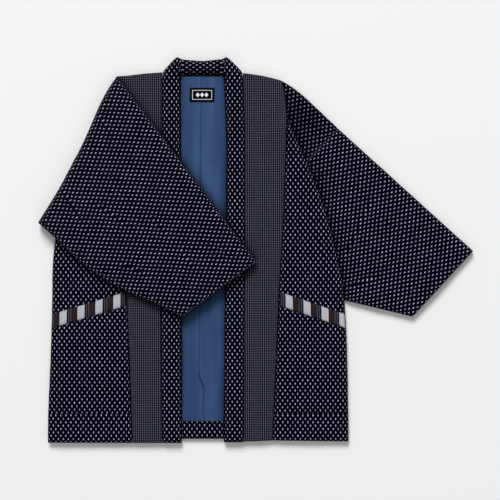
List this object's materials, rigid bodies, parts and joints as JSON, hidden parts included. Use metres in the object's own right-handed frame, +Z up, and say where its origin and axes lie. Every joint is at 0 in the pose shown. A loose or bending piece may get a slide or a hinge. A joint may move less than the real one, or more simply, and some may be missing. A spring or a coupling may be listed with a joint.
{
  "type": "padded hanten jacket",
  "caption": "Padded short jacket laid flat, front open over a lining, one sleeve folded across the front, wide straight sleeves, collar band and slanted pockets.",
  "frame": {"origin": "on the surface that the jacket lies on, below the middle of its whole outline", "axes": "+X across the jacket towards the sleeve that lies out, +Y from the hem to the collar, +Z up from the surface"},
  "size_m": [0.959, 0.852, 0.0343],
  "materials": {
    "kasuri_cloth": "matte cotton with small pale marks",
    "checked_cloth": "matte cotton with a fine pale check",
    "lining_cloth": "smooth plain weave",
    "striped_cloth": "matte cotton with woven stripes",
    "label_cloth": "dense woven ribbon"
  },
  "bodies": {
    "root": {"back_panel": "kasuri_cloth", "back_lining": "lining_cloth", "back_hem_facing": "kasuri_cloth", "label": "label_cloth", "left_front_side": "kasuri_cloth", "left_front_band": "checked_cloth", "right_front_side": "kasuri_cloth", "right_front_turn": "kasuri_cloth", "right_front_band": "checked_cloth", "collar": "kasuri_cloth", "left_sleeve": "kasuri_cloth", "right_sleeve": "kasuri_cloth", "left_pocket": "kasuri_cloth", "right_pocket": "kasuri_cloth", "left_pocket_trim": "striped_cloth", "right_pocket_trim": "striped_cloth"}
  },
  "joints": []
}
